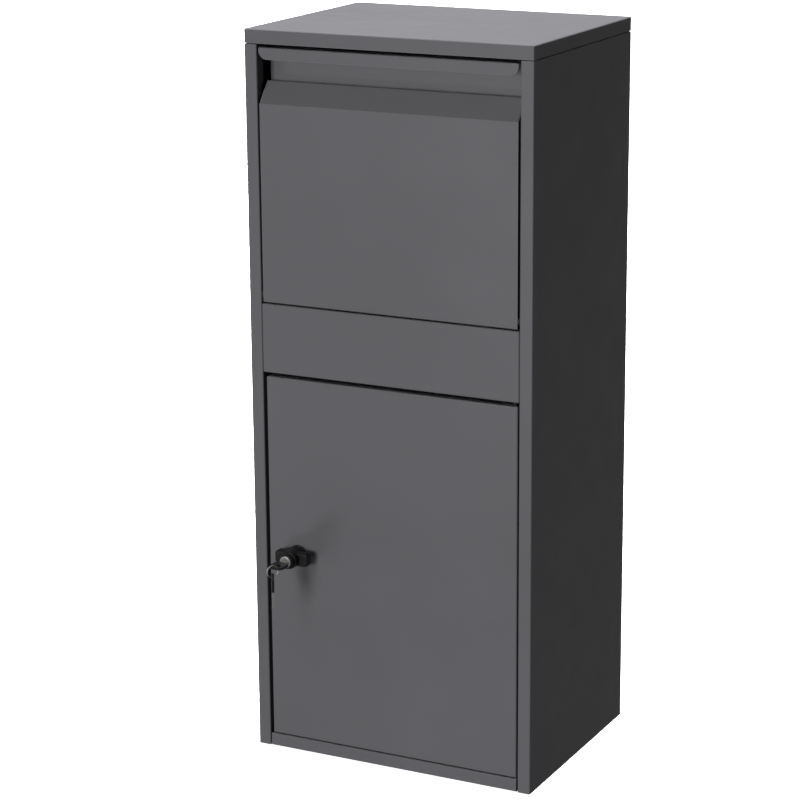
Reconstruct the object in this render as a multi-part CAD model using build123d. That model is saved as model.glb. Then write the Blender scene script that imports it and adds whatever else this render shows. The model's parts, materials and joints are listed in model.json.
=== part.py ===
"""Free-standing parcel drop box: folded-steel cabinet, tilting hopper and locked door.

Units are millimetres.  +X is the user's right, +Y runs to the back and +Z is up.
The origin is on the floor, in the middle of the cabinet's footprint.
"""
import os
from math import atan2, cos, degrees, radians, sin, sqrt

from build123d import *

os.makedirs("parts", exist_ok=True)

# ---- cabinet, overall ----------------------------------------------------
WIDTH = 415.0
DEPTH = 320.0
HEIGHT = 1000.0
SHEET = 1.0                      # steel sheet
BEND = 2.0                       # outside radius of a fold
HALF = WIDTH / 2
FRONT = -DEPTH / 2
RIVET_HEAD = 0.8
REAR = DEPTH / 2 - RIVET_HEAD    # back of the rear flanges, under the rivet heads
CAP_FLANGE = 19.0
CAP_LIP = 14.0
CAP_Z = HEIGHT - CAP_FLANGE
GASKET = 1.2                     # open seam under the cap
SHELL_TOP = CAP_Z - GASKET
POST = 18.6                      # front return of a side panel
POST_DEPTH = 17.0
POST_IN = HALF - POST
POST_BACK = FRONT + POST_DEPTH
REAR_FLANGE = 18.0
TOP_FLANGE = 12.0
BACK_FACE = REAR - SHEET         # outer face of the back panel
BACK_INSIDE = BACK_FACE - SHEET

# ---- middle rail, base and mounting holes ---------------------------------
RAIL_LOW = 539.0
RAIL_TOP = 634.0
RAIL_DEPTH = 16.0
SILL = 18.7
SILL_HALF = 187.2
SILL_DEPTH = 13.0
BASE_UPSTAND = 20.0
FLOOR_HOLE_R = 4.5
FLOOR_HOLE_X = 150.0
FLOOR_HOLE_Y = 100.0
WALL_HOLE_R = 4.5
WALL_HOLE_X = 130.0
WALL_HOLE_Z = (250.0, 850.0)

# ---- hopper ----------------------------------------------------------------
HOPPER_HALF = 186.0
HOPPER_LOW = 636.0
HOPPER_TOP = 976.4
LIP_LOW = 960.5
LIP_CORNER = 12.0
GRIP_BACK = -130.0               # recessed face behind the grip lip
GRIP_LOW = 929.0
SLOPE_START = (-139.0, 930.8)    # the ledge of the grip rises towards its front
SLOPE_END = 902.6
HEM = 11.0
CHEEK_IN = HOPPER_HALF - SHEET
RECESS_HALF = CHEEK_IN - 0.3
PIVOT_Y = -153.5
PIVOT_Z = 646.0
OPEN_ANGLE = 35.0
CHEEK_R = 275.0
CHEEK_LOW = 639.0
CHEEK_FLANGE_IN = 172.0
CHEEK_FLANGE_Z = (674.0, 895.0)
TRAY_START = (-158.0, 652.0)
TRAY_LENGTH = 175.0
TRAY_SLOPE = 35.0
TRAY_NECK_HALF = 178.0
TRAY_NECK_BACK = -144.0
TRAY_FLANGE = 12.0
STOP_FACE_Y = -132.7             # front of the stop tab when the hopper is open
STOP_Z = (893.0, 917.0)
STOP_OUT = 204.0
PIN_R = 2.5
RUNNING = 0.05                   # radial clearance of a turning fit
BUSH_R = 3.9

# ---- inner rails and baffle ------------------------------------------------
HEADER_FRONT = -124.0
HEADER_LOW = 960.0
BAFFLE_TIP = (45.0, 662.0)
BAFFLE_ROOT_Z = 799.0
BAFFLE_HALF = 205.0

# ---- door ------------------------------------------------------------------
DOOR_LEFT = -184.0
DOOR_RIGHT = 187.2
DOOR_LOW = 20.0
DOOR_TOP = 534.0
DOOR_DEPTH = 15.0
DOOR_LIP = 10.0
HINGE_X = 181.7
HINGE_Y = -154.5
STRIKE_Z = (24.0, 528.0)
STRIKE_Y = -142.0                # front face of the strike flange
STRIKE_END = -176.0

# ---- lock and keys -----------------------------------------------------------
LOCK_X = -140.0
LOCK_Z = 287.0
BARREL_R = 9.5
SPINDLE_R = 5.5
SPINDLE_SQUARE = 8.0
CAM_FRONT = -140.5
CAM_SHEET = 2.0
CAM_REACH = 47.0
WING_HALF = 25.0                 # half span of the knob's two wings
WING_TALL = 9.5                  # half height of a wing
WING_Y = (-181.0, -170.0)
HUB_R = 12.2
HUB_FRONT = -189.0
COLLAR_R = 10.0
KNOB_FACE = -195.0
SOCKET_BACK = -172.0             # bottom of the knob's bore for the key cylinder
SPINDLE_FRONT = -170.0
LOCK_FACE = -197.5
BEZEL_R = 8.0
PLUG_R = 6.0
KEYWAY_HALF = (4.5, 1.4)
KEYWAY_BACK = -175.0
ESCUTCHEON_R = 14.0
ESCUTCHEON_DEPTH = 3.0
FLANGE_R = 12.5                  # front flange of the lock barrel
BACKING_HALF = 26.0
STIFFENER_Z = (60.0, 492.0)
KEY_SHOULDER = -201.0
KEY_TURN = 33.0                  # plan angle of the split ring
SPARE_TURN = 60.0                # plan angle of the spare key
KEY_LENGTH = 24.0
KEY_HALF = 4.1
KEY_THICK = 2.2
BOW_LENGTH = 25.0
BOW_WIDTH = 22.0
BOW_THICK = 3.6
BOW_CORNER = 8.0
BOW_HOLE_U = 17.5
BOW_HOLE_R = 5.0
RING_R = 8.2
RING_WIRE = 0.8
RING_DROP = 5.05
BRIDGE = 6.85                    # hole centre to the middle of the bow's rim
SPARE_DROP = 3.1                 # ring wire above the spare key's hole centre


# ---- helpers ----------------------------------------------------------------
def block(x0, x1, y0, y1, z0, z1):
    """Box between three pairs of limits."""
    centre = ((x0 + x1) / 2, (y0 + y1) / 2, (z0 + z1) / 2)
    return Pos(*centre) * Box(abs(x1 - x0), abs(y1 - y0), abs(z1 - z0))


def rod_x(x0, x1, y, z, r):
    return Pos((x0 + x1) / 2, y, z) * Rot(0, 90, 0) * Cylinder(r, abs(x1 - x0))


def rod_y(y0, y1, x, z, r):
    return Pos(x, (y0 + y1) / 2, z) * Rot(90, 0, 0) * Cylinder(r, abs(y1 - y0))


def rod_z(z0, z1, x, y, r):
    return Pos(x, y, (z0 + z1) / 2) * Cylinder(r, abs(z1 - z0))


def folded(points, radii, side):
    """Closed section of a folded sheet, from one of its two faces."""
    return make_face(offset(FilletPolyline(*points, radius=radii), amount=SHEET, side=side))


def across(section, x0, x1):
    """Run a section drawn in Y and Z along X."""
    return Pos(x0, 0, 0) * extrude(Plane.YZ * section, amount=x1 - x0)


def upright(section, z0, z1):
    """Run a section drawn in X and Y up Z."""
    return Pos(0, 0, z0) * extrude(section, amount=z1 - z0)


def swap(part):
    """Mirror image on the other side of the cabinet."""
    return mirror(part, about=Plane.YZ)


def both(part):
    """A piece and its mirror image as separate solids."""
    return group([part, swap(part)])


def group(pieces):
    """Separate solids in one node."""
    return Compound([solid for piece in pieces for solid in piece.solids()])


def rivet(grip, tail=1.5, head_r=3.0, shank_r=1.6, tail_r=2.4):
    """Blind rivet: head on local z = 0 pointing up, shank down through the grip."""
    head = Pos(0, 0, RIVET_HEAD / 2) * Cylinder(head_r, RIVET_HEAD)
    head = fillet(head.edges().group_by(Axis.Z)[-1], RIVET_HEAD * 0.8)
    shank = Pos(0, 0, -grip / 2) * Cylinder(shank_r, grip)
    bulb = Pos(0, 0, -grip - tail / 2) * Cylinder(tail_r, tail)
    return head + shank + bulb


def pan(x0, x1, y0, y1, z0, z1, lip=0.0):
    """Folded tray that faces -Y: a skin, four flanges and, with a lip, a return."""
    shell = block(x0, x1, y0, y1, z0, z1)
    rounded = shell.edges().filter_by(Axis.Y) + shell.faces().sort_by(Axis.Y)[0].edges()
    shell = fillet(rounded, BEND)
    inner_back = y1 - SHEET if lip else y1 + SHEET
    inner = block(x0 + SHEET, x1 - SHEET, y0 + SHEET, inner_back, z0 + SHEET, z1 - SHEET)
    shell -= inner
    if lip:
        shell -= block(x0 + lip, x1 - lip, y0 + SHEET, y1 + SHEET, z0 + lip, z1 - lip)
    return shell


def turned(y, z, angle):
    """A point in Y and Z turned about the hopper pivot by an angle in degrees."""
    dy, dz, a = y - PIVOT_Y, z - PIVOT_Z, radians(angle)
    return PIVOT_Y + dy * cos(a) - dz * sin(a), PIVOT_Z + dy * sin(a) + dz * cos(a)


# ---- fastener places -----------------------------------------------------------
BACK_RIVET_X = HALF - SHEET - REAR_FLANGE / 2 + 0.5
BACK_RIVET_Z = [46.0 + 130.0 * i for i in range(8)]
CAP_SCREW_X = HALF - 6.5
CAP_SCREW_Y = (-117.0, 0.0, 117.0)
RAIL_RIVET_Z = (557.0, 616.0)
RAIL_RIVET_Y = -151.0
BAFFLE_RIVET_X = (-160.0, -80.0, 0.0, 80.0, 160.0)
BAFFLE_RIVET_Z = BAFFLE_ROOT_Z + 12.0
STRIKE_RIVET_Z = (70.0, 200.0, 352.0, 482.0)
STRIKE_RIVET_Y = -150.0
BRACKET_RIVET_Z = (896.0, 914.0)
BUMPER_Z = 905.0
BUMPER_X = 198.0
REST_BUMPER = (150.0, 969.5)
DOOR_BUMPER_X = -181.0
DOOR_BUMPER_Z = (60.0, 492.0)


# ---- cabinet shell ---------------------------------------------------------------
def side_panel():
    """Right side: front post with its return, side, rear flange and top flange."""
    path = [
        (POST_IN, POST_BACK),
        (POST_IN, FRONT),
        (HALF, FRONT),
        (HALF, REAR),
        (HALF - REAR_FLANGE, REAR),
    ]
    panel = upright(folded(path, BEND, Side.LEFT), 0, SHELL_TOP)
    panel += block(HALF - TOP_FLANGE, HALF - SHEET / 2, FRONT + 1.5, BACK_INSIDE - 0.2,
                   SHELL_TOP - SHEET, SHELL_TOP)
    for z in BACK_RIVET_Z:
        panel -= rod_y(BACK_FACE - 1, REAR + 1, BACK_RIVET_X, z, 1.6)
    for y in CAP_SCREW_Y:
        panel -= rod_z(SHELL_TOP - 2, SHELL_TOP + 1, CAP_SCREW_X, y, 2.0)
    post_holes = [(RAIL_RIVET_Y, z, 1.6) for z in RAIL_RIVET_Z]
    post_holes += [(RAIL_RIVET_Y, z, 1.6) for z in BRACKET_RIVET_Z]
    post_holes.append((PIVOT_Y, PIVOT_Z, PIN_R))
    for y, z, r in post_holes:
        panel -= rod_x(POST_IN - 1, POST_IN + SHEET + 1, y, z, r)
    return panel


def left_side_panel():
    """Mirror of the right side, with the strike's rivet holes."""
    panel = swap(side_panel())
    for z in STRIKE_RIVET_Z:
        panel -= rod_x(-POST_IN - SHEET - 1, -POST_IN + 1, STRIKE_RIVET_Y, z, 1.6)
    return panel


def back_panel():
    """Flat sheet inside the rear flanges, with a top flange and four wall holes."""
    inner_half = HALF - BEND
    panel = block(-inner_half, inner_half, BACK_INSIDE, BACK_FACE, SHEET, SHELL_TOP)
    ledge_half = HALF - TOP_FLANGE - 0.5
    panel += block(-ledge_half, ledge_half, BACK_INSIDE - TOP_FLANGE, BACK_FACE,
                   SHELL_TOP - SHEET, SHELL_TOP)
    for x in (-WALL_HOLE_X, WALL_HOLE_X):
        for z in WALL_HOLE_Z:
            panel -= rod_y(BACK_INSIDE - 1, BACK_FACE + 1, x, z, WALL_HOLE_R)
    for x in (-BACK_RIVET_X, BACK_RIVET_X):
        for z in BACK_RIVET_Z:
            panel -= rod_y(BACK_INSIDE - 1, BACK_FACE + 1, x, z, 1.6)
    for x in BAFFLE_RIVET_X:
        panel -= rod_y(BACK_INSIDE - 1, BACK_FACE + 1, x, BAFFLE_RIVET_Z, 1.6)
    return panel


def top_cap():
    """Lid folded down all round, with a return lip that sits on the gasket."""
    cap = block(-HALF, HALF, FRONT, REAR, CAP_Z, HEIGHT)
    upper = cap.faces().sort_by(Axis.Z)[-1].edges()
    cap = fillet(cap.edges().filter_by(Axis.Z) + upper, BEND)
    cap -= block(-HALF + SHEET, HALF - SHEET, FRONT + SHEET, REAR - SHEET,
                 CAP_Z + SHEET, HEIGHT - SHEET)
    cap -= block(-HALF + CAP_LIP, HALF - CAP_LIP, FRONT + CAP_LIP, REAR - CAP_LIP,
                 CAP_Z - 1, CAP_Z + 2 * SHEET)
    for x in (-CAP_SCREW_X, CAP_SCREW_X):
        for y in CAP_SCREW_Y:
            cap -= rod_z(CAP_Z - 1, CAP_Z + 2 * SHEET, x, y, 2.0)
    return cap


def cap_gasket():
    """Foam strip between the cap's lip and the shell's top flanges, on three sides."""
    outer = HALF - 3.0
    inner = HALF - TOP_FLANGE
    side = block(inner, outer, POST_BACK, BACK_INSIDE - 3, SHELL_TOP, CAP_Z)
    rear = block(-outer, outer, BACK_INSIDE - TOP_FLANGE + 1, BACK_INSIDE - 3, SHELL_TOP, CAP_Z)
    strip = side + swap(side) + rear
    for x in (-CAP_SCREW_X, CAP_SCREW_X):
        for y in CAP_SCREW_Y:
            strip -= rod_z(SHELL_TOP - 1, CAP_Z + 1, x, y, 2.0)
    return strip


def cap_screws():
    """Six pan-head screws driven up through the top flanges into the cap's lip."""
    screws = []
    for x in (-CAP_SCREW_X, CAP_SCREW_X):
        for y in CAP_SCREW_Y:
            clamp = 2 * SHEET if y == CAP_SCREW_Y[0] else SHEET
            seat = SHELL_TOP - clamp
            head = rod_z(seat - 2.2, seat, x, y, 3.8)
            head = fillet(head.edges().group_by(Axis.Z)[0], 1.2)
            screws.append(head + rod_z(seat, CAP_Z + SHEET + 3, x, y, 2.0))
    return group(screws)


def base_pan():
    """Floor of the cabinet, with the door sill folded up at the front."""
    path = [
        (FRONT + SILL_DEPTH, SILL - 10),
        (FRONT + SILL_DEPTH, SILL),
        (FRONT, SILL),
        (FRONT, 0),
        (BACK_FACE, 0),
    ]
    floor = across(folded(path, BEND, Side.LEFT), -SILL_HALF, SILL_HALF)
    inner_half = HALF - SHEET
    start = POST_BACK + 0.5
    for side in (-1, 1):
        floor += block(side * (SILL_HALF - 1), side * inner_half, start, BACK_INSIDE, 0, SHEET)
        floor += block(side * (inner_half - SHEET), side * inner_half, start,
                       BACK_INSIDE, 0, BASE_UPSTAND)
    floor += block(-inner_half, inner_half, BACK_INSIDE - SHEET, BACK_INSIDE, 0, BASE_UPSTAND)
    for x in (-FLOOR_HOLE_X, FLOOR_HOLE_X):
        for y in (-FLOOR_HOLE_Y, FLOOR_HOLE_Y):
            floor -= rod_z(-1, SHEET + 1, x, y, FLOOR_HOLE_R)
    floor -= rod_z(SILL - 3, SILL + 1, HINGE_X, HINGE_Y, PIN_R + RUNNING)
    return floor


def middle_rail():
    """Fixed front rail between the hopper and the door."""
    rail = pan(-POST_IN, POST_IN, FRONT, FRONT + RAIL_DEPTH, RAIL_LOW, RAIL_TOP)
    for side in (-1, 1):
        for z in RAIL_RIVET_Z:
            rail -= rod_x(side * (POST_IN - 3), side * (POST_IN + 1), RAIL_RIVET_Y, z, 1.6)
    rail -= rod_z(RAIL_LOW - 1, RAIL_LOW + 3, HINGE_X, HINGE_Y, 4.0)
    return rail


def header_rail():
    """Channel under the cap, behind the hopper's top edge."""
    path = [
        (HEADER_FRONT + 16, SHELL_TOP - SHEET),
        (HEADER_FRONT, SHELL_TOP - SHEET),
        (HEADER_FRONT, HEADER_LOW),
        (HEADER_FRONT + 12, HEADER_LOW),
    ]
    rail = across(folded(path, BEND, Side.LEFT), -HALF + 1.2, HALF - 1.2)
    x, z = REST_BUMPER
    for side in (-1, 1):
        rail -= rod_y(HEADER_FRONT - 1, HEADER_FRONT + 3, side * x, z, 2.0)
        rail -= rod_z(SHELL_TOP - 3, SHELL_TOP, side * CAP_SCREW_X, CAP_SCREW_Y[0], 2.0)
    return rail


def drop_baffle():
    """Sloping anti-theft plate on the back panel, above the drop opening."""
    tip_y, tip_z = BAFFLE_TIP
    path = [
        (BACK_INSIDE, BAFFLE_ROOT_Z + 22),
        (BACK_INSIDE, BAFFLE_ROOT_Z),
        (tip_y, tip_z),
        (tip_y, tip_z - 12),
    ]
    plate = across(folded(path, 3.0, Side.RIGHT), -BAFFLE_HALF, BAFFLE_HALF)
    for x in BAFFLE_RIVET_X:
        plate -= rod_y(BACK_INSIDE - 3, BACK_INSIDE + 1, x, BAFFLE_RIVET_Z, 1.6)
    return plate


def strike_strip():
    """Angle riveted inside the left post: door stop and keep for the lock cam."""
    leg_x = -POST_IN - 2 * SHEET
    path = [
        (leg_x, FRONT + 4),
        (leg_x, STRIKE_Y + SHEET),
        (STRIKE_END, STRIKE_Y + SHEET),
    ]
    strip = upright(folded(path, BEND, Side.RIGHT), *STRIKE_Z)
    for z in STRIKE_RIVET_Z:
        strip -= rod_x(leg_x - 1, leg_x + SHEET + 1, STRIKE_RIVET_Y, z, 1.6)
    for z in DOOR_BUMPER_Z:
        strip -= rod_y(STRIKE_Y - 1, STRIKE_Y + 3, DOOR_BUMPER_X, z, 1.5)
    return strip


# ---- cabinet fasteners and stops -----------------------------------------------
def back_panel_rivets():
    one = Pos(0, REAR, 0) * Rot(-90, 0, 0) * rivet(2 * SHEET)
    return group([Pos(x, 0, z) * one for x in (-BACK_RIVET_X, BACK_RIVET_X) for z in BACK_RIVET_Z])


def baffle_rivets():
    one = Pos(0, BACK_FACE, BAFFLE_RIVET_Z) * Rot(-90, 0, 0) * rivet(2 * SHEET)
    return group([Pos(x, 0, 0) * one for x in BAFFLE_RIVET_X])


def post_rivet(head_x, y, z):
    """Rivet through the right post's return, head towards the opening."""
    return Pos(head_x, y, z) * Rot(0, -90, 0) * rivet(2 * SHEET)


def middle_rail_rivets():
    right = [post_rivet(POST_IN - SHEET, RAIL_RIVET_Y, z) for z in RAIL_RIVET_Z]
    return group(right + [swap(r) for r in right])


def strike_rivets():
    return group([swap(post_rivet(POST_IN, STRIKE_RIVET_Y, z)) for z in STRIKE_RIVET_Z])


def stop_brackets():
    """Angles inside the posts that carry the hopper's open stops."""
    inner = POST_IN + SHEET
    path = [
        (inner, FRONT + 4),
        (inner, POST_BACK + SHEET),
        (HALF - 2 * SHEET, POST_BACK + SHEET),
    ]
    bracket = upright(folded(path, BEND, Side.RIGHT), 888, 922)
    for z in BRACKET_RIVET_Z:
        bracket -= rod_x(inner - 1, inner + 2, RAIL_RIVET_Y, z, 1.6)
    bracket -= rod_y(POST_BACK - 1, POST_BACK + 3, BUMPER_X, BUMPER_Z, 2.0)
    return both(bracket)


def bracket_rivets():
    right = [post_rivet(POST_IN, RAIL_RIVET_Y, z) for z in BRACKET_RIVET_Z]
    return group(right + [swap(r) for r in right])


def open_bumpers():
    """Rubber buffers that the hopper's stop tabs meet when it is fully open."""
    face = POST_BACK + SHEET
    pad = rod_y(face, STOP_FACE_Y - 0.3, BUMPER_X, BUMPER_Z, 6.0)
    pad = fillet(pad.edges().group_by(Axis.Y)[-1], 1.5)
    pad += rod_y(face - 3, face, BUMPER_X, BUMPER_Z, 2.0)
    return both(pad)


def rest_bumpers():
    """Rubber buffers behind the closed hopper's top edge."""
    x, z = REST_BUMPER
    pad = rod_y(GRIP_BACK + SHEET + 0.3, HEADER_FRONT, x, z, 6.0)
    pad = fillet(pad.edges().group_by(Axis.Y)[0], 1.5)
    pad += rod_y(HEADER_FRONT, HEADER_FRONT + 3, x, z, 2.0)
    return both(pad)


def door_bumpers():
    """Rubber buffers on the strike, behind the door's free edge."""
    pads = []
    for z in DOOR_BUMPER_Z:
        pad = rod_y(FRONT + DOOR_DEPTH + 0.3, STRIKE_Y, DOOR_BUMPER_X, z, 4.0)
        pad = fillet(pad.edges().group_by(Axis.Y)[0], 1.0)
        pads.append(pad + rod_y(STRIKE_Y, STRIKE_Y + 2.5, DOOR_BUMPER_X, z, 1.5))
    return group(pads)


# ---- hopper ---------------------------------------------------------------------
def hopper_front():
    """One sheet: grip lip, recessed grip face, slope, front face and bottom hem."""
    path = [
        (FRONT + SHEET + 0.2, LIP_LOW),
        (FRONT + SHEET + 0.2, HOPPER_TOP - SHEET),
        (GRIP_BACK, HOPPER_TOP - SHEET),
        (GRIP_BACK, GRIP_LOW),
        SLOPE_START,
        (FRONT, SLOPE_END),
        (FRONT, HOPPER_LOW),
        (FRONT + HEM, HOPPER_LOW),
    ]
    section = folded(path, [0.9, 0.9, 1.5, 1.5, 1.5, 1.5], Side.LEFT)
    front = across(section, -HOPPER_HALF, HOPPER_HALF)
    for side in (-1, 1):
        edge = side * HOPPER_HALF
        corner = block(edge - side * LIP_CORNER, edge + side, FRONT - 1, FRONT + 3,
                       LIP_LOW - 1, LIP_LOW + LIP_CORNER)
        corner -= rod_y(FRONT - 2, FRONT + 4, edge - side * LIP_CORNER,
                        LIP_LOW + LIP_CORNER, LIP_CORNER)
        front -= corner
        front -= block(side * RECESS_HALF, edge + side, FRONT + SHEET, GRIP_BACK + 3,
                       SLOPE_END - 2, HOPPER_TOP - 4)
    return front


def tray_end():
    """Far end of the tray's upper face."""
    a = radians(TRAY_SLOPE)
    return TRAY_START[0] + TRAY_LENGTH * cos(a), TRAY_START[1] - TRAY_LENGTH * sin(a)


def below_tray(point, drop):
    """A point moved square to the tray, downwards."""
    a = radians(TRAY_SLOPE)
    return point[0] - drop * sin(a), point[1] - drop * cos(a)


def tray_point(along, up):
    """A point on the tray's side flange, measured along and square to the tray."""
    a = radians(TRAY_SLOPE)
    return (TRAY_START[0] + along * cos(a) + up * sin(a),
            TRAY_START[1] - along * sin(a) + up * cos(a))


TRAY_RIVETS = [tray_point(along, 6.0) for along in (45.0, 95.0, 145.0)]


def hopper_tray():
    """Sloping floor of the hopper: a fixing flange, the floor, a hem and side flanges."""
    start_y, start_z = TRAY_START
    end = tray_end()
    path = [(start_y, start_z + 18), TRAY_START, end, below_tray(end, 10)]
    section = folded(path, [1.0, 2.0], Side.RIGHT)
    tray = across(section, -CHEEK_IN, CHEEK_IN)
    rim = make_face(Polyline(tray_point(25, -0.5), tray_point(170, -0.5),
                             tray_point(160, TRAY_FLANGE), tray_point(35, TRAY_FLANGE),
                             close=True))
    for side in (-1, 1):
        tray += across(rim, side * CHEEK_IN - (SHEET if side > 0 else 0),
                       side * CHEEK_IN + (SHEET if side < 0 else 0))
        tray -= block(side * TRAY_NECK_HALF, side * HALF, FRONT, TRAY_NECK_BACK,
                      start_z - 40, start_z + 30)
        for y, z in TRAY_RIVETS:
            tray -= rod_x(side * (CHEEK_IN - 3), side * (CHEEK_IN + 1), y, z, 1.6)
    return tray


def hopper_cheek():
    """Right side wall of the hopper, with its pivot hole, front flange and stop tab."""
    tab_back = STOP_FACE_Y + SHEET
    open_top = PIVOT_Z + sqrt(CHEEK_R ** 2 - (tab_back - PIVOT_Y) ** 2)
    rear_top = turned(tab_back, open_top, -OPEN_ANGLE)
    rear_low = turned(tab_back, STOP_Z[0] - 5, -OPEN_ANGLE)
    arc_start = (-146.0, PIVOT_Z + sqrt(CHEEK_R ** 2 - (-146.0 - PIVOT_Y) ** 2))
    start_angle = degrees(atan2(arc_start[1] - PIVOT_Z, arc_start[0] - PIVOT_Y))
    end_angle = degrees(atan2(rear_top[1] - PIVOT_Z, rear_top[0] - PIVOT_Y))
    arc = CenterArc((PIVOT_Y, PIVOT_Z), CHEEK_R, start_angle, end_angle - start_angle)
    straight = Polyline(rear_top, rear_low, below_tray(tray_end(), 3.0), (-143.0, CHEEK_LOW),
                        (FRONT + SHEET, CHEEK_LOW), (FRONT + SHEET, SLOPE_END), arc_start)
    cheek = across(make_face([*arc.edges(), *straight.edges()]), CHEEK_IN, HOPPER_HALF)
    cheek += block(CHEEK_FLANGE_IN, CHEEK_IN + 0.5, FRONT + SHEET, FRONT + 2 * SHEET,
                   *CHEEK_FLANGE_Z)
    tab = block(CHEEK_IN, STOP_OUT, STOP_FACE_Y, tab_back, *STOP_Z)
    tab = Pos(0, PIVOT_Y, PIVOT_Z) * Rot(-OPEN_ANGLE, 0, 0) * Pos(0, -PIVOT_Y, -PIVOT_Z) * tab
    cheek += tab
    cheek -= rod_x(CHEEK_IN - 1, HOPPER_HALF + 1, PIVOT_Y, PIVOT_Z, BUSH_R)
    for y, z in TRAY_RIVETS:
        cheek -= rod_x(CHEEK_IN - 1, HOPPER_HALF + 1, y, z, 1.6)
    return cheek


def hopper_rivets():
    one = Rot(0, 90, 0) * rivet(2 * SHEET)
    right = [Pos(HOPPER_HALF, y, z) * one for y, z in TRAY_RIVETS]
    return group(right + [swap(r) for r in right])


def pivot_bushes():
    """Flanged nylon bushes in the cheeks, between the hopper and the posts."""
    bush = rod_x(CHEEK_IN, HOPPER_HALF, PIVOT_Y, PIVOT_Z, BUSH_R)
    bush += rod_x(HOPPER_HALF, POST_IN - 0.4, PIVOT_Y, PIVOT_Z, 6.0)
    bush -= rod_x(CHEEK_IN - 1, POST_IN, PIVOT_Y, PIVOT_Z, PIN_R + RUNNING)
    return both(bush)


def pivot_pins():
    """Headed pins pressed into the posts; the hopper turns on them."""
    pin = rod_x(182.0, POST_IN + SHEET, PIVOT_Y, PIVOT_Z, PIN_R)
    pin += rod_x(POST_IN + SHEET, POST_IN + SHEET + 2, PIVOT_Y, PIVOT_Z, 4.5)
    return both(pin)


def pivot_clips():
    """Retaining rings on the inner ends of the pivot pins."""
    clip = rod_x(182.6, 183.4, PIVOT_Y, PIVOT_Z, 4.5)
    clip -= rod_x(182, 184, PIVOT_Y, PIVOT_Z, PIN_R)
    return both(clip)


# ---- door -------------------------------------------------------------------------
def door_panel():
    """Door skin folded into a shallow tray, with return lips."""
    door = pan(DOOR_LEFT, DOOR_RIGHT, FRONT, FRONT + DOOR_DEPTH, DOOR_LOW, DOOR_TOP, DOOR_LIP)
    door -= rod_y(FRONT - 1, FRONT + 3, LOCK_X, LOCK_Z, BARREL_R)
    door -= rod_z(DOOR_LOW - 1, DOOR_LOW + 2, HINGE_X, HINGE_Y, PIN_R)
    door -= rod_z(DOOR_TOP - 2, DOOR_TOP + 1, HINGE_X, HINGE_Y, PIN_R)
    return door


def door_stiffener():
    """Hat-section stiffener welded down the middle of the door's inside."""
    skin = FRONT + SHEET
    crown = FRONT + DOOR_DEPTH - 3
    path = [(-40, skin), (-25, skin), (-25, crown), (25, crown), (25, skin), (40, skin)]
    return upright(folded(path, 1.2, Side.LEFT), *STIFFENER_Z)


def hinge_pin(pin_z, head_z):
    pin = rod_z(*pin_z, HINGE_X, HINGE_Y, PIN_R)
    return pin + rod_z(*head_z, HINGE_X, HINGE_Y, 4.0)


def upper_hinge_pin():
    """Pin fixed in the door's top flange; it turns in the rail's bush."""
    inner = DOOR_TOP - SHEET
    return hinge_pin((inner - 3, RAIL_LOW + 5), (inner - 3, inner))


def lower_hinge_pin():
    """Pin fixed in the door's bottom flange; it turns in the sill."""
    inner = DOOR_LOW + SHEET
    return hinge_pin((SILL - 5, inner + 3), (inner, inner + 3))


def hinge_bush():
    """Nylon bush in the rail's lower flange."""
    bush = rod_z(RAIL_LOW, RAIL_LOW + 2.5, HINGE_X, HINGE_Y, 4.0)
    bush += rod_z(RAIL_LOW - 0.8, RAIL_LOW, HINGE_X, HINGE_Y, 5.0)
    return bush - rod_z(RAIL_LOW - 2, RAIL_LOW + 4, HINGE_X, HINGE_Y, PIN_R + RUNNING)


def hinge_washer():
    """Washer on the sill, under the door."""
    washer = rod_z(SILL, SILL + 1, HINGE_X, HINGE_Y, 5.0)
    return washer - rod_z(SILL - 1, SILL + 2, HINGE_X, HINGE_Y, PIN_R + RUNNING)


# ---- lock ---------------------------------------------------------------------------
def lock_rod(y0, y1, r):
    return rod_y(y0, y1, LOCK_X, LOCK_Z, r)


PLATE_BACK = FRONT + SHEET + 1.6
NUT_BACK = PLATE_BACK + 5.0
BARREL_END = -144.0
HUB_BACK = -162.3


def lock_backing_plate():
    skin = FRONT + SHEET
    plate = block(LOCK_X - BACKING_HALF, LOCK_X + BACKING_HALF, skin, PLATE_BACK,
                  LOCK_Z - BACKING_HALF, LOCK_Z + BACKING_HALF)
    plate = fillet(plate.edges().filter_by(Axis.Y), 4)
    return plate - lock_rod(skin - 1, PLATE_BACK + 1, BARREL_R)


def lock_housing():
    """Fixed barrel of the lock with its front flange."""
    body = lock_rod(FRONT, BARREL_END, BARREL_R) + lock_rod(FRONT - 2, FRONT, FLANGE_R)
    return body - lock_rod(FRONT - 4, BARREL_END + 2, SPINDLE_R + RUNNING)


def lock_escutcheon():
    """Round trim ring on the door, around the lock."""
    ring = lock_rod(FRONT - ESCUTCHEON_DEPTH, FRONT, ESCUTCHEON_R)
    ring = fillet(ring.edges().group_by(Axis.Y)[0], 1.2)
    return ring - lock_rod(FRONT - ESCUTCHEON_DEPTH - 2, FRONT + 1, FLANGE_R)


def lock_nut():
    """Thin hexagon nut that clamps the barrel."""
    hexagon = extrude(RegularPolygon(12.5, 6, major_radius=False), amount=NUT_BACK - PLATE_BACK)
    nut = Pos(LOCK_X, NUT_BACK, LOCK_Z) * Rot(90, 0, 0) * hexagon
    return nut - lock_rod(PLATE_BACK - 1, NUT_BACK + 1, BARREL_R)


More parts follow.
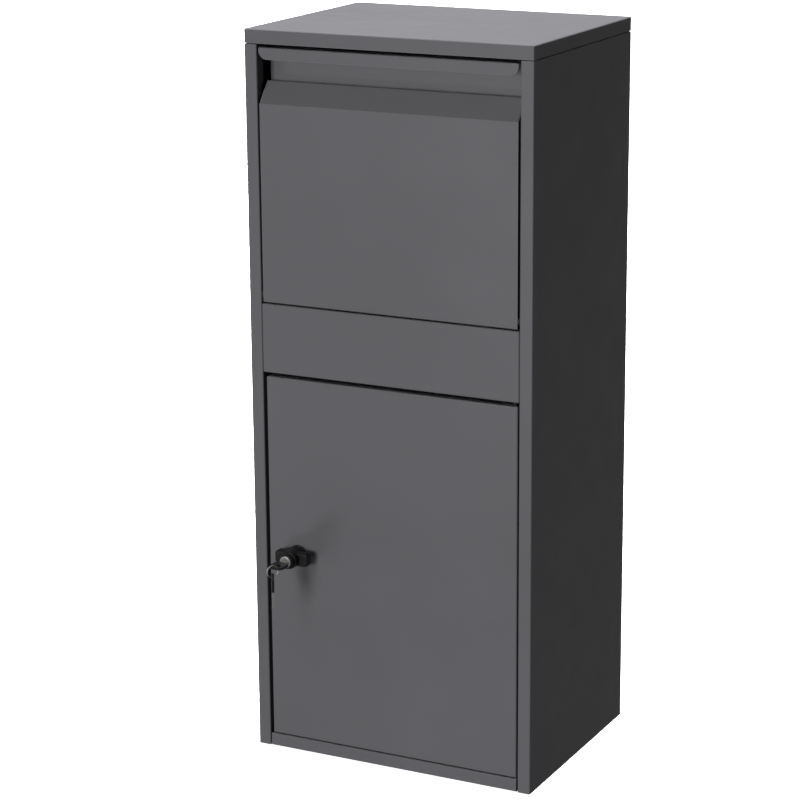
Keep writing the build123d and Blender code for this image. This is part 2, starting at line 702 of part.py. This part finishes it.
def lock_spindle():
    """Turning shaft from the knob through the barrel to the cam."""
    half = SPINDLE_SQUARE / 2
    shaft = lock_rod(SPINDLE_FRONT, BARREL_END, SPINDLE_R)
    shaft += block(LOCK_X - half, LOCK_X + half, BARREL_END, CAM_FRONT + CAM_SHEET - 0.2,
                   LOCK_Z - half, LOCK_Z + half)
    return shaft - lock_rod(CAM_FRONT - 8, CAM_FRONT + 4, 2.2)


def lock_cam():
    """Flat cam; it hangs down when unlocked and turns left behind the strike."""
    root = Circle(10.0)
    tip = Pos(0, -(CAM_REACH - 7)) * Circle(7.0)
    outline = make_hull((root + tip).edges()) - Rectangle(SPINDLE_SQUARE, SPINDLE_SQUARE)
    cam = extrude(outline, amount=CAM_SHEET)
    return Pos(LOCK_X, CAM_FRONT + CAM_SHEET, LOCK_Z) * Rot(90, 0, 0) * cam


def cam_washer():
    back = CAM_FRONT + CAM_SHEET
    return lock_rod(back, back + 1.2, 7.0) - lock_rod(back - 1, back + 2, 2.2)


def cam_screw():
    back = CAM_FRONT + CAM_SHEET + 1.2
    head = lock_rod(back, back + 3, 4.5)
    head = fillet(head.edges().group_by(Axis.Y)[-1], 1.0)
    return head + lock_rod(CAM_FRONT - 6, back, 2.2)


def lock_knob():
    """Two-winged turning knob with a collar around the lock face."""
    wings = block(LOCK_X - WING_HALF, LOCK_X + WING_HALF, *WING_Y,
                  LOCK_Z - WING_TALL, LOCK_Z + WING_TALL)
    wings = fillet(wings.edges().filter_by(Axis.Y), 5.0)
    wings = fillet(wings.faces().sort_by(Axis.Y)[0].edges(), 2.5)
    hub = lock_rod(HUB_FRONT, HUB_BACK, HUB_R)
    hub = fillet(hub.edges().group_by(Axis.Y)[0], 2.0)
    collar = lock_rod(KNOB_FACE, HUB_FRONT + 2, COLLAR_R)
    collar = fillet(collar.edges().group_by(Axis.Y)[0], 1.0)
    knob = wings + hub + collar
    knob -= lock_rod(KNOB_FACE - 1, SOCKET_BACK, BEZEL_R)
    return knob - lock_rod(SPINDLE_FRONT, HUB_BACK + 1, SPINDLE_R)


def lock_bezel():
    """Bright sleeve around the key plug."""
    sleeve = lock_rod(LOCK_FACE, SOCKET_BACK, BEZEL_R)
    sleeve = fillet(sleeve.edges().group_by(Axis.Y)[0], 0.7)
    return sleeve - lock_rod(LOCK_FACE - 1, SOCKET_BACK + 1, PLUG_R + RUNNING)


def lock_plug():
    """Key plug with its keyway across the face."""
    plug = lock_rod(LOCK_FACE + 0.5, SOCKET_BACK - 0.3, PLUG_R)
    half_x, half_z = KEYWAY_HALF
    return plug - block(LOCK_X - half_x, LOCK_X + half_x, LOCK_FACE - 1, KEYWAY_BACK,
                        LOCK_Z - half_z, LOCK_Z + half_z)


# ---- keys: drawn flat, blade along -X from the shoulder at the origin ----------------
def key_blade():
    blade = Pos(-KEY_LENGTH / 2, 0) * Rectangle(KEY_LENGTH, 2 * KEY_HALF)
    blade = chamfer(blade.vertices().group_by(Axis.X)[0], 2.2)
    for i, depth in enumerate((1.6, 2.4, 1.0, 2.0)):
        notch = Pos(-KEY_LENGTH + 5.5 + 4.2 * i, KEY_HALF) * Rot(0, 0, 45)
        blade -= notch * Rectangle(depth * 1.3, depth * 1.3)
    blade += Pos(4.5, 0) * Rectangle(9, 6)
    return Pos(0, 0, -KEY_THICK / 2) * extrude(blade, amount=KEY_THICK)


def key_bow():
    outline = Pos(BOW_LENGTH / 2, 0) * RectangleRounded(BOW_LENGTH, BOW_WIDTH, BOW_CORNER)
    outline -= Pos(BOW_HOLE_U, 0) * Circle(BOW_HOLE_R)
    bow = Pos(0, 0, -BOW_THICK / 2) * extrude(outline, amount=BOW_THICK)
    bow = chamfer(bow.faces().sort_by(Axis.Z)[-1].edges(), 0.5)
    bow = chamfer(bow.faces().sort_by(Axis.Z)[0].edges(), 0.5)
    return bow - Pos(4.5, 0, 0) * Box(9, 6, KEY_THICK)


KEY_PLACE = Pos(LOCK_X, KEY_SHOULDER, LOCK_Z) * Rot(0, 0, -90)
RING_A = radians(KEY_TURN)
KEY_HOLE_Y = KEY_SHOULDER - BOW_HOLE_U
RING_X = LOCK_X - BRIDGE * sin(RING_A)
RING_Y = KEY_HOLE_Y - BRIDGE * cos(RING_A)
RING_Z = LOCK_Z - RING_DROP
SPARE_HOLE_Z = RING_Z - RING_R - SPARE_DROP
SPARE_PLACE = (
    Pos(RING_X, RING_Y, SPARE_HOLE_Z - BOW_HOLE_U)
    * Rot(0, 0, -SPARE_TURN)
    * Rot(0, -90, 0)
    * Rot(90, 0, 0)
)


def key_ring():
    """Split ring through the key's bow, in an upright plane."""
    upright_ring = Rot(0, 0, 90 - KEY_TURN) * Rot(90, 0, 0) * Torus(RING_R, RING_WIRE)
    return Pos(RING_X, RING_Y, RING_Z) * upright_ring


# ---- export --------------------------------------------------------------------------
RIGHT_SIDE = side_panel()
RIGHT_CHEEK = hopper_cheek()

NODES = {
    "left_side_panel": left_side_panel(),
    "right_side_panel": RIGHT_SIDE,
    "back_panel": back_panel(),
    "top_cap": top_cap(),
    "cap_gasket": cap_gasket(),
    "cap_screws": cap_screws(),
    "base_pan": base_pan(),
    "middle_rail": middle_rail(),
    "header_rail": header_rail(),
    "drop_baffle": drop_baffle(),
    "strike_strip": strike_strip(),
    "back_panel_rivets": back_panel_rivets(),
    "baffle_rivets": baffle_rivets(),
    "middle_rail_rivets": middle_rail_rivets(),
    "strike_rivets": strike_rivets(),
    "stop_brackets": stop_brackets(),
    "stop_bracket_rivets": bracket_rivets(),
    "hopper_open_bumpers": open_bumpers(),
    "hopper_rest_bumpers": rest_bumpers(),
    "door_bumpers": door_bumpers(),
    "hopper_pivot_pins": pivot_pins(),
    "hopper_pivot_clips": pivot_clips(),
    "door_hinge_bush": hinge_bush(),
    "door_hinge_washer": hinge_washer(),
    "hopper_front": hopper_front(),
    "hopper_left_cheek": swap(RIGHT_CHEEK),
    "hopper_right_cheek": RIGHT_CHEEK,
    "hopper_tray": hopper_tray(),
    "hopper_rivets": hopper_rivets(),
    "hopper_pivot_bushes": pivot_bushes(),
    "door_panel": door_panel(),
    "door_stiffener": door_stiffener(),
    "door_upper_hinge_pin": upper_hinge_pin(),
    "door_lower_hinge_pin": lower_hinge_pin(),
    "lock_backing_plate": lock_backing_plate(),
    "lock_housing": lock_housing(),
    "lock_escutcheon": lock_escutcheon(),
    "lock_nut": lock_nut(),
    "lock_spindle": lock_spindle(),
    "lock_knob": lock_knob(),
    "lock_bezel": lock_bezel(),
    "lock_cam": lock_cam(),
    "lock_cam_washer": cam_washer(),
    "lock_cam_screw": cam_screw(),
    "lock_plug": lock_plug(),
    "key_blade": KEY_PLACE * key_blade(),
    "key_bow": KEY_PLACE * key_bow(),
    "key_ring": key_ring(),
    "spare_key_blade": SPARE_PLACE * key_blade(),
    "spare_key_bow": SPARE_PLACE * key_bow(),
}

for name, shape in NODES.items():
    export_step(shape, f"parts/{name}.step")
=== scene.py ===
"""Looks of the free-standing parcel drop box: materials, fine pieces, camera and studio.

Units are metres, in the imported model's frame: origin on the floor under the cabinet,
-Y towards the viewer, +Z up.
"""

import json
from math import cos, pi, radians, sin

import bmesh
import bpy
from mathutils import Matrix, Vector


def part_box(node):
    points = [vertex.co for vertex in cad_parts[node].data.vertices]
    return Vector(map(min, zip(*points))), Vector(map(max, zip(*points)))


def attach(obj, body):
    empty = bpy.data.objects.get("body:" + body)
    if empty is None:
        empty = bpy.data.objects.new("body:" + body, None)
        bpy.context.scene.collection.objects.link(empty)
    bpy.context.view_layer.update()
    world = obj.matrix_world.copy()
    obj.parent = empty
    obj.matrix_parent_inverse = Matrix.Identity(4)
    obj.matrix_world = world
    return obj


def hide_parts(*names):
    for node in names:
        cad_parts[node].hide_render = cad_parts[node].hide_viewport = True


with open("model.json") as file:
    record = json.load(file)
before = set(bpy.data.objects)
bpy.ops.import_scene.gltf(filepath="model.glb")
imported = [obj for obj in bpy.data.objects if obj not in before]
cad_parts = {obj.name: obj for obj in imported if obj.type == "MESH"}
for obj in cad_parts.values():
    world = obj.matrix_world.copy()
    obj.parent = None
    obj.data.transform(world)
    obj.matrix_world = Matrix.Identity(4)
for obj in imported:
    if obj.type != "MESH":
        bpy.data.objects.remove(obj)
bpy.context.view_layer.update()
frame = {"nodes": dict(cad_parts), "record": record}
scene = bpy.context.scene
NODES = frame["nodes"]
MM = 0.001


# ---- camera --------------------------------------------------------------------
CAMERA_AZIMUTH = 26.95      # degrees round to the object's right
CAMERA_ELEVATION = 15.22
CAMERA_ROLL = -0.42
CAMERA_DISTANCE = 3.618
CAMERA_AIM_HEIGHT = 0.5188
CAMERA_ASIDE = -0.0567      # sideways and upward offsets of the camera's axis
CAMERA_ABOVE = -0.0351
LENS_MM = 118.9
SENSOR_MM = 36.0


def add_camera():
    """Place the camera by azimuth and elevation around the cabinet."""
    az, el, roll = (radians(v) for v in (CAMERA_AZIMUTH, CAMERA_ELEVATION, CAMERA_ROLL))
    back = Vector((sin(az) * cos(el), -cos(az) * cos(el), sin(el)))
    right = Vector((0, 0, 1)).cross(back).normalized()
    up = back.cross(right)
    right, up = right * cos(roll) + up * sin(roll), up * cos(roll) - right * sin(roll)
    data = bpy.data.cameras.new("camera")
    data.lens = LENS_MM
    data.sensor_width = SENSOR_MM
    data.clip_end = 60
    camera = bpy.data.objects.new("camera", data)
    place = back * CAMERA_DISTANCE + right * CAMERA_ASIDE + up * CAMERA_ABOVE
    place.z += CAMERA_AIM_HEIGHT
    turn = Matrix((right, up, back)).transposed().to_4x4()
    camera.matrix_world = Matrix.Translation(place) @ turn
    scene.collection.objects.link(camera)
    scene.camera = camera


# ---- material tools --------------------------------------------------------------
BEVEL_SAMPLES = 4
FLAT_DOT = 0.99             # true normal against rounded normal, on a flat face
EDGE_DOT = 0.72             # and at a sharp edge


class Material:
    """A Principled material with short calls for its texture nodes."""

    def __init__(self, name, colour, roughness, metallic=0.0):
        self.material = bpy.data.materials.new(name)
        self.material.use_nodes = True
        self.tree = self.material.node_tree
        self.shader = self.tree.nodes["Principled BSDF"]
        self.shader.inputs["Base Color"].default_value = (*colour, 1)
        self.shader.inputs["Roughness"].default_value = roughness
        self.shader.inputs["Metallic"].default_value = metallic
        self.place = self.tree.nodes.new("ShaderNodeTexCoord").outputs["Object"]

    def set(self, socket, value):
        """Set one of the shader's own values."""
        self.shader.inputs[socket].default_value = value

    def link(self, source, target):
        """Join an output socket to an input socket."""
        self.tree.links.new(source, target)

    def noise(self, scale, detail=3.0, rough=0.5, stretch=None):
        """Noise value; scale is in repeats per metre."""
        node = self.tree.nodes.new("ShaderNodeTexNoise")
        node.inputs["Scale"].default_value = scale
        node.inputs["Detail"].default_value = detail
        node.inputs["Roughness"].default_value = rough
        source = self.place
        if stretch:
            mapping = self.tree.nodes.new("ShaderNodeMapping")
            mapping.inputs["Scale"].default_value = stretch
            self.link(self.place, mapping.inputs["Vector"])
            source = mapping.outputs["Vector"]
        self.link(source, node.inputs["Vector"])
        return node.outputs["Fac"]

    def cells(self, scale):
        """Distance to the nearest cell centre; scale is in cells per metre."""
        node = self.tree.nodes.new("ShaderNodeTexVoronoi")
        node.inputs["Scale"].default_value = scale
        self.link(self.place, node.inputs["Vector"])
        return node.outputs["Distance"]

    def remap(self, value, low, high, out_low, out_high):
        """Stretch the range low..high of a value to out_low..out_high."""
        node = self.tree.nodes.new("ShaderNodeMapRange")
        for name, number in (("From Min", low), ("From Max", high),
                             ("To Min", out_low), ("To Max", out_high)):
            node.inputs[name].default_value = number
        self.link(value, node.inputs["Value"])
        return node.outputs["Result"]

    def blend(self, factor, first, second):
        """Colour mix; first and second are colours or sockets."""
        node = self.tree.nodes.new("ShaderNodeMix")
        node.data_type = "RGBA"
        self.link(factor, node.inputs[0])
        for slot, item in ((6, first), (7, second)):
            if isinstance(item, tuple):
                node.inputs[slot].default_value = (*item, 1)
            else:
                self.link(item, node.inputs[slot])
        return node.outputs[2]

    def maths(self, kind, first, second):
        """One step of arithmetic; first and second are numbers or sockets."""
        node = self.tree.nodes.new("ShaderNodeMath")
        node.operation = kind
        for slot, item in enumerate((first, second)):
            if isinstance(item, (int, float)):
                node.inputs[slot].default_value = item
            else:
                self.link(item, node.inputs[slot])
        return node.outputs[0]

    def edges(self, radius):
        """About 0 on flat faces and towards 1 within a radius of an edge."""
        bevel = self.tree.nodes.new("ShaderNodeBevel")
        bevel.samples = BEVEL_SAMPLES
        bevel.inputs["Radius"].default_value = radius
        geometry = self.tree.nodes.new("ShaderNodeNewGeometry")
        dot = self.tree.nodes.new("ShaderNodeVectorMath")
        dot.operation = "DOT_PRODUCT"
        self.link(bevel.outputs["Normal"], dot.inputs[0])
        self.link(geometry.outputs["Normal"], dot.inputs[1])
        return self.remap(dot.outputs["Value"], FLAT_DOT, EDGE_DOT, 0, 1)

    def bumps(self, *layers):
        """Chain of bump layers, each (height socket, distance in metres, strength)."""
        normal = None
        for height, distance, strength in layers:
            node = self.tree.nodes.new("ShaderNodeBump")
            node.inputs["Distance"].default_value = distance
            node.inputs["Strength"].default_value = strength
            self.link(height, node.inputs["Height"])
            if normal:
                self.link(normal, node.inputs["Normal"])
            normal = node.outputs["Normal"]
        self.link(normal, self.shader.inputs["Normal"])


ANTHRACITE = (0.098, 0.0966, 0.1046)


def shade(colour, times):
    """A colour made darker or lighter."""
    return tuple(c * times for c in colour)


def powder_coat():
    """Satin anthracite powder coat: orange peel, fine grit and a painted highlight along the edges.
    """
    m = Material("powder_coat", ANTHRACITE, 0.42)
    m.set("Specular IOR Level", 0.32)
    cloud = m.noise(4.0, 4, 0.55)
    grit = m.noise(2600.0, 2, 0.6)
    peel = m.noise(620.0, 2, 0.45)
    sag = m.noise(5.5, 1, 0.4)
    dark = shade(ANTHRACITE, 0.95)
    light = shade(ANTHRACITE, 1.05)
    base = m.blend(m.remap(cloud, 0.3, 0.7, 0, 1), dark, light)
    speck = m.blend(m.remap(grit, 0.55, 0.75, 0, 0.35), base, shade(ANTHRACITE, 1.5))
    patchy = m.remap(m.noise(70.0, 4, 0.6), 0.35, 0.65, 0.35, 0.8)
    # Lighter folds and edges: a painted highlight, broken up in patches.
    lighter_edges = m.maths("MULTIPLY", m.edges(0.0012), patchy)
    m.link(m.blend(lighter_edges, speck, shade(ANTHRACITE, 2.3)), m.shader.inputs["Base Color"])
    m.link(m.remap(m.noise(14.0, 5, 0.6), 0.3, 0.7, 0.38, 0.47), m.shader.inputs["Roughness"])
    m.bumps((sag, 0.0009, 0.25), (peel, 0.00009, 0.35), (grit, 0.00003, 0.4))
    return m.material


def zinc_steel():
    """Bright zinc plate, with a cloudy sheen and fine drawn lines."""
    m = Material("zinc_steel", (0.60, 0.61, 0.62), 0.34, 1.0)
    lines = m.noise(900.0, 2, 0.5, (1, 1, 0.05))
    cloud = m.noise(60.0, 4, 0.6)
    m.link(m.blend(m.remap(cloud, 0.3, 0.7, 0, 1), (0.52, 0.53, 0.55), (0.68, 0.68, 0.66)),
           m.shader.inputs["Base Color"])
    m.link(m.remap(lines, 0.3, 0.7, 0.26, 0.44), m.shader.inputs["Roughness"])
    m.bumps((lines, 0.00002, 0.3))
    return m.material


def rivet_aluminium():
    """Dull aluminium with a fine sandy grain."""
    m = Material("aluminium_rivet", (0.68, 0.68, 0.69), 0.38, 1.0)
    fine = m.noise(1500.0, 3, 0.6)
    m.link(m.blend(m.remap(fine, 0.35, 0.65, 0, 1), (0.60, 0.60, 0.61), (0.74, 0.74, 0.75)),
           m.shader.inputs["Base Color"])
    m.link(m.remap(fine, 0.3, 0.7, 0.3, 0.5), m.shader.inputs["Roughness"])
    m.bumps((fine, 0.00003, 0.4))
    return m.material


def moulded_plastic(name, colour, roughness, grain=1400.0):
    """Moulded plastic with a fine spark-eroded grain and edges made lighter."""
    m = Material(name, colour, roughness)
    m.set("Specular IOR Level", 0.3)
    fine = m.noise(grain, 3, 0.55)
    cloud = m.noise(45.0, 4, 0.6)
    lighter = shade(colour, 1.5)
    base = m.blend(m.remap(cloud, 0.3, 0.7, 0, 0.6), colour, lighter)
    # Lighter towards the edges.
    lighter_edges = m.maths("MULTIPLY", m.edges(0.0006), 0.45)
    m.link(m.blend(lighter_edges, base, shade(colour, 3)),
           m.shader.inputs["Base Color"])
    m.link(m.remap(cloud, 0.3, 0.7, roughness - 0.06, roughness + 0.06),
           m.shader.inputs["Roughness"])
    m.bumps((fine, 0.00004, 0.35))
    return m.material


def soft_rubber(name, colour, roughness, grain):
    """Matt rubber or foam, with open pores."""
    m = Material(name, colour, roughness)
    fine = m.noise(grain, 4, 0.65)
    pores = m.cells(grain * 0.8)
    m.link(m.blend(m.remap(fine, 0.3, 0.7, 0, 1), colour, shade(colour, 1.8)),
           m.shader.inputs["Base Color"])
    m.link(m.remap(fine, 0.3, 0.7, roughness - 0.08, roughness + 0.05),
           m.shader.inputs["Roughness"])
    m.bumps((pores, 0.00006, 0.3), (fine, 0.00005, 0.4))
    return m.material


def polished_metal(name, colour, roughness, wear):
    """Plated metal: light hairline scratches and a slightly uneven polish."""
    m = Material(name, colour, roughness, 1.0)
    scratch = m.noise(500.0, 3, 0.6, (1, 0.06, 1))
    cloud = m.noise(160.0, 4, 0.6)
    darker = shade(colour, 0.82)
    m.link(m.blend(m.remap(cloud, 0.35, 0.7, 0, 1), colour, darker), m.shader.inputs["Base Color"])
    m.link(m.remap(scratch, 0.35, 0.7, roughness, roughness + wear),
           m.shader.inputs["Roughness"])
    m.bumps((scratch, 0.00001, 0.35))
    return m.material


MATERIALS = {
    "powder_coat": powder_coat(),
    "zinc_steel": zinc_steel(),
    "aluminium_rivet": rivet_aluminium(),
    "black_plastic": moulded_plastic("black_plastic", (0.008, 0.008, 0.0085), 0.34),
    "nylon": moulded_plastic("nylon", (0.014, 0.014, 0.015), 0.42),
    "black_rubber": soft_rubber("black_rubber", (0.018, 0.018, 0.018), 0.72, 900.0),
    "foam": soft_rubber("foam", (0.014, 0.014, 0.014), 0.85, 2200.0),
    "bright_chrome": polished_metal("bright_chrome", (0.90, 0.90, 0.90), 0.30, 0.10),
    "nickel_steel": polished_metal("nickel_steel", (0.66, 0.65, 0.62), 0.30, 0.14),
    "die_cast": polished_metal("die_cast", (0.36, 0.36, 0.37), 0.40, 0.18),
}
CAD_SHARP = 32.0            # folds above this angle, in degrees, stay sharp
SLOT_OF = {row["node"]: row["material_slot"] for row in frame["record"]["subparts"]}
GREASED = polished_metal("greased_pin", (0.07, 0.07, 0.07), 0.45, 0.1)


def dress_cad_nodes():
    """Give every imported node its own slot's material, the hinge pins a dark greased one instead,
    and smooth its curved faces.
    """
    for name, node in NODES.items():
        mesh = node.data
        mesh.materials.clear()
        greased = name.endswith("_hinge_pin")
        mesh.materials.append(GREASED if greased else MATERIALS[SLOT_OF[name]])
        for face in mesh.polygons:
            face.material_index = 0
            face.use_smooth = True
        mesh.set_sharp_from_angle(angle=radians(CAD_SHARP))


# ---- finer pieces -----------------------------------------------------------------
RING_TURN = radians(33.0)   # plan angle of the split ring's plane
RING_HALF_WIDE = 0.68 * MM  # half width of the wire, along the ring's radius
RING_HALF_THICK = 0.36 * MM
RING_CORNER = 0.22 * MM     # rounding of the wire's edges
RING_INSET = 0.06 * MM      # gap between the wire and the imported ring's outside
RING_LAYER = 0.40 * MM      # each coil's distance from the ring's middle plane
RING_STEP = radians(3)
RING_GAP = radians(14)      # half the angle in which the coils change sides
RING_START = 0.6            # place of the gap round the ring, in radians
RING_SHARP = 50.0           # as CAD_SHARP, for the wire


def swept(name, path, frames, section):
    """Tube of a given section along a path; frames holds two unit axes for each point."""
    shape = bmesh.new()
    rings = []
    for point, (first, second) in zip(path, frames):
        rings.append([shape.verts.new(point + first * a + second * b) for a, b in section])
    count = len(section)
    for one, two in zip(rings, rings[1:]):
        for i in range(count):
            j = (i + 1) % count
            shape.faces.new((one[i], one[j], two[j], two[i]))
    shape.faces.new(rings[0])
    shape.faces.new(list(reversed(rings[-1])))
    bmesh.ops.recalc_face_normals(shape, faces=shape.faces)
    mesh = bpy.data.meshes.new(name)
    shape.to_mesh(mesh)
    shape.free()
    return mesh


def rounded_section(half_wide, half_tall, corner, steps):
    """Outline of a rounded rectangle, with a number of steps round each corner."""
    points = []
    for quarter, (sx, sy) in enumerate(((1, 1), (-1, 1), (-1, -1), (1, -1))):
        for i in range(steps + 1):
            a = (quarter + i / steps) * pi / 2
            points.append((sx * (half_wide - corner) + corner * cos(a),
                           sy * (half_tall - corner) + corner * sin(a)))
    return points


def place_piece(name, mesh, slot, body, sharp):
    """Add a finished piece to the scene in its slot's material, riding on a body."""
    mesh.materials.append(MATERIALS[slot])
    for face in mesh.polygons:
        face.use_smooth = True
    mesh.set_sharp_from_angle(angle=radians(sharp))
    piece = bpy.data.objects.new(name, mesh)
    scene.collection.objects.link(piece)
    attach(piece, body)
    return piece


def split_ring():
    """Two flat coils of spring wire, side by side, that step over each other once."""
    low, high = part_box("key_ring")
    centre = (Vector(low) + Vector(high)) / 2
    outer = (high[2] - low[2]) / 2
    mean = outer - RING_HALF_WIDE - RING_INSET
    along = Vector((sin(RING_TURN), cos(RING_TURN), 0))
    normal = Vector((cos(RING_TURN), -sin(RING_TURN), 0))
    path, frames = [], []
    angle = RING_GAP
    while angle < 4 * pi - RING_GAP:
        across = min(1.0, max(0.0, (angle - 2 * pi + RING_GAP) / (2 * RING_GAP)))
        across = across * across * (3 - 2 * across)
        turn = angle + RING_START
        radial = along * cos(turn) + Vector((0, 0, sin(turn)))
        path.append(centre + radial * mean + normal * RING_LAYER * (2 * across - 1))
        frames.append((radial, normal))
        angle += RING_STEP
    section = rounded_section(RING_HALF_WIDE, RING_HALF_THICK, RING_CORNER, 3)
    mesh = swept("split_ring", path, frames, section)
    piece = place_piece("split_ring", mesh, "bright_chrome", "key_ring", RING_SHARP)
    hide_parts("key_ring")


# ---- studio --------------------------------------------------------------------------
WORLD_GLOSS = 0.19          # surroundings seen in reflections only
WHITE = (1, 1, 1, 1)
FLOOR_COLOUR = (0.82, 0.82, 0.82)
FLOOR_GLOW = 0.92           # keeps the floor pale all round the object
BACKDROP_GLOW = 1.0
BACKDROP_RADIUS = 40.0
LIGHT_DISTANCE = 4.5
LIGHT_HEIGHT = 0.5
NEAR_DISTANCE = 2.2         # of the two side panels

# name, azimuth, elevation, strength, spread in degrees, makes highlights
SUNS = (
    ("top_light", 180, 84, 10.5, 8, False),
    ("key_light", -14, 3, 1.86, 22, False),
    ("low_light", -40, -36, 0.9, 14, False),
    ("high_light", -10, 38, 0.45, 16, True),
)
# name, azimuth, elevation, power, width, height, distance, aim height, makes highlights
PANELS = (
    ("sheen_light", -10, 2, 42.0, 1.6, 2.0, LIGHT_DISTANCE, LIGHT_HEIGHT, True),
    ("fill_light", 215, 5, 260.0, 2.0, 2.0, LIGHT_DISTANCE, LIGHT_HEIGHT, False),
    ("side_light", 93, 0, 5.0, 1.0, 0.4, NEAR_DISTANCE, 0.1, False),
    ("left_light", -92, 0, 6.0, 1.0, 1.4, NEAR_DISTANCE, 0.5, False),
)


def unseen_by_light(obj):
    """The camera sees this object, but it lights and darkens nothing."""
    obj.visible_diffuse = False
    obj.visible_glossy = False
    obj.visible_transmission = False
    obj.visible_shadow = False


def add_floor():
    """Wide pale floor that fills the view."""
    mesh = bpy.data.meshes.new("floor")
    size = BACKDROP_RADIUS
    corners = [(-size, -size, 0), (size, -size, 0), (size, size, 0), (-size, size, 0)]
    mesh.from_pydata(corners, [], [(0, 1, 2, 3)])
    floor = bpy.data.objects.new("floor", mesh)
    scene.collection.objects.link(floor)
    m = Material("floor", FLOOR_COLOUR, 0.7)
    m.set("Specular IOR Level", 0.1)
    m.set("Emission Color", WHITE)
    m.set("Emission Strength", FLOOR_GLOW)
    mesh.materials.append(m.material)
    unseen_by_light(floor)


def add_backdrop():
    """White dome behind everything."""
    mesh = bpy.data.meshes.new("backdrop")
    shape = bmesh.new()
    bmesh.ops.create_uvsphere(shape, u_segments=48, v_segments=24, radius=BACKDROP_RADIUS)
    shape.to_mesh(mesh)
    shape.free()
    dome = bpy.data.objects.new("backdrop", mesh)
    scene.collection.objects.link(dome)
    m = Material("backdrop", (0, 0, 0), 1.0)
    m.set("Emission Color", WHITE)
    m.set("Emission Strength", BACKDROP_GLOW)
    mesh.materials.append(m.material)
    unseen_by_light(dome)


def from_angle(azimuth, elevation):
    """Unit vector from the object towards a place around it; azimuth 0 is the front."""
    az, el = radians(azimuth), radians(elevation)
    return Vector((sin(az) * cos(el), -cos(az) * cos(el), sin(el)))


def add_light(name, kind, azimuth, elevation, power, distance, height, gloss):
    """Aim a light at the cabinet; without gloss it makes no highlights."""
    data = bpy.data.lights.new(name, kind)
    data.energy = power
    light = bpy.data.objects.new(name, data)
    light.visible_glossy = gloss
    towards = from_angle(azimuth, elevation)
    light.location = towards * distance + Vector((0, 0, height))
    light.rotation_euler = towards.to_track_quat("Z", "Y").to_euler()
    scene.collection.objects.link(light)
    return data


def add_sun(name, azimuth, elevation, strength, spread, gloss):
    """Broad even light from one direction; spread is its angle in degrees."""
    data = add_light(name, "SUN", azimuth, elevation, strength, LIGHT_DISTANCE, LIGHT_HEIGHT, gloss)
    data.angle = radians(spread)


def add_panel(name, azimuth, elevation, power, wide, tall, distance, height, gloss):
    """Rectangular soft box."""
    data = add_light(name, "AREA", azimuth, elevation, power, distance, height, gloss)
    data.shape = "RECTANGLE"
    data.size, data.size_y = wide, tall


def add_studio():
    """Surroundings, floor, backdrop and lights."""
    world = bpy.data.worlds.new("studio")
    world.use_nodes = True
    background = world.node_tree.nodes["Background"]
    background.inputs["Color"].default_value = WHITE
    background.inputs["Strength"].default_value = WORLD_GLOSS
    scene.world = world
    world.cycles_visibility.diffuse = False
    scene.view_settings.view_transform = "Standard"
    add_floor()
    add_backdrop()
    for sun in SUNS:
        add_sun(*sun)
    for panel in PANELS:
        add_panel(*panel)


add_camera()
dress_cad_nodes()
split_ring()
add_studio()
